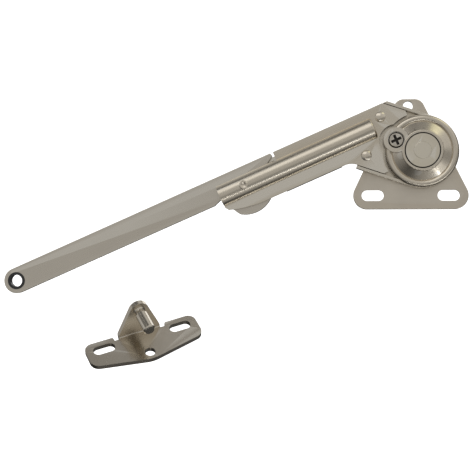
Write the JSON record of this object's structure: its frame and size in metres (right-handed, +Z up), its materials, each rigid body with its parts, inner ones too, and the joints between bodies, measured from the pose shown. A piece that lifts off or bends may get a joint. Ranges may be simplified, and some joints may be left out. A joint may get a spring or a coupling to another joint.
{
  "type": "folding flap stay",
  "caption": "Folding stay for a cabinet flap: screw-on base plate, braked arm housing with a spring channel, a flat bar hinged to it, and a loose pin bracket for the flap.",
  "frame": {"origin": "the main pivot's axis on the mounting face of the base plate", "axes": "+Z up, +Y into the cabinet side, -Y towards the room, +X from the elbow towards the main pivot"},
  "size_m": [0.2001, 0.0363, 0.1127],
  "materials": {
    "nickel_steel": "nickel-plated pressed sheet, satin, with a fine grain along each strip",
    "turned_nickel": "nickel-plated and turned, brushed round the pivot",
    "bracket_nickel": "nickel-plated, matt satin",
    "bright_steel": "nickel-plated, lightly turned",
    "screw_steel": "zinc-plated cross-head screw",
    "spring_steel": "drawn spring wire, lightly oiled",
    "black_plastic": "black moulded acetal",
    "washer_plastic": "natural acetal, satin",
    "friction_lining": "brown pressed friction lining"
  },
  "bodies": {
    "base": {"base_plate": "nickel_steel", "thrust_washer": "washer_plastic", "pivot_spindle": "bright_steel", "rotor_disc": "bright_steel", "retaining_ring": "bright_steel", "spindle_cap": "bright_steel"},
    "arm_housing": {"back_housing": "nickel_steel", "bearing_bush": "washer_plastic", "arm_cover": "nickel_steel", "dome_cover": "turned_nickel", "friction_disc_rear": "friction_lining", "friction_disc_front": "friction_lining", "pressure_plate": "bright_steel", "disc_spring": "spring_steel", "screw_nut": "bright_steel", "cover_rivets": "bright_steel", "rivet_spacers": "bright_steel", "elbow_rivet": "bright_steel", "elbow_spacer": "bright_steel", "plunger_spring": "spring_steel", "spring_seat": "black_plastic"},
    "folding_bar": {"flat_bar": "nickel_steel", "elbow_bush": "washer_plastic", "end_bush": "black_plastic"},
    "spring_plunger": {"plunger": "washer_plastic"},
    "brake_screw": {"adjusting_screw": "screw_steel"},
    "flap_bracket": {"bracket_plate": "bracket_nickel", "bracket_pin": "bracket_nickel"}
  },
  "joints": [
    {"name": "main_pivot", "type": "hinge", "parent": "base", "child": "arm_housing", "pos_m": [0, 0, 0], "axis": [0, 1, 0], "range_deg": [-20, 95]},
    {"name": "elbow_fold", "type": "hinge", "parent": "arm_housing", "child": "folding_bar", "pos_m": [-0.07476, 0, -0.01403], "axis": [0, -1, 0], "range_deg": [0, 135]},
    {"name": "plunger_slide", "type": "slide", "parent": "arm_housing", "child": "spring_plunger", "axis": [0.9157, 0, 0.4019], "range_m": [0, 0.001], "stiffness_N_per_m": 300, "springref_m": -0.01, "deforming": ["plunger_spring"]},
    {"name": "screw_turn", "type": "hinge", "parent": "arm_housing", "child": "brake_screw", "pos_m": [-0.01089, 0, 0.0044], "axis": [0, 1, 0], "range_deg": [-180, 180]},
    {"name": "bracket_lift", "type": "slide", "parent": "base", "child": "flap_bracket", "axis": [0, -1, 0], "range_m": [0, 0.05]}
  ]
}
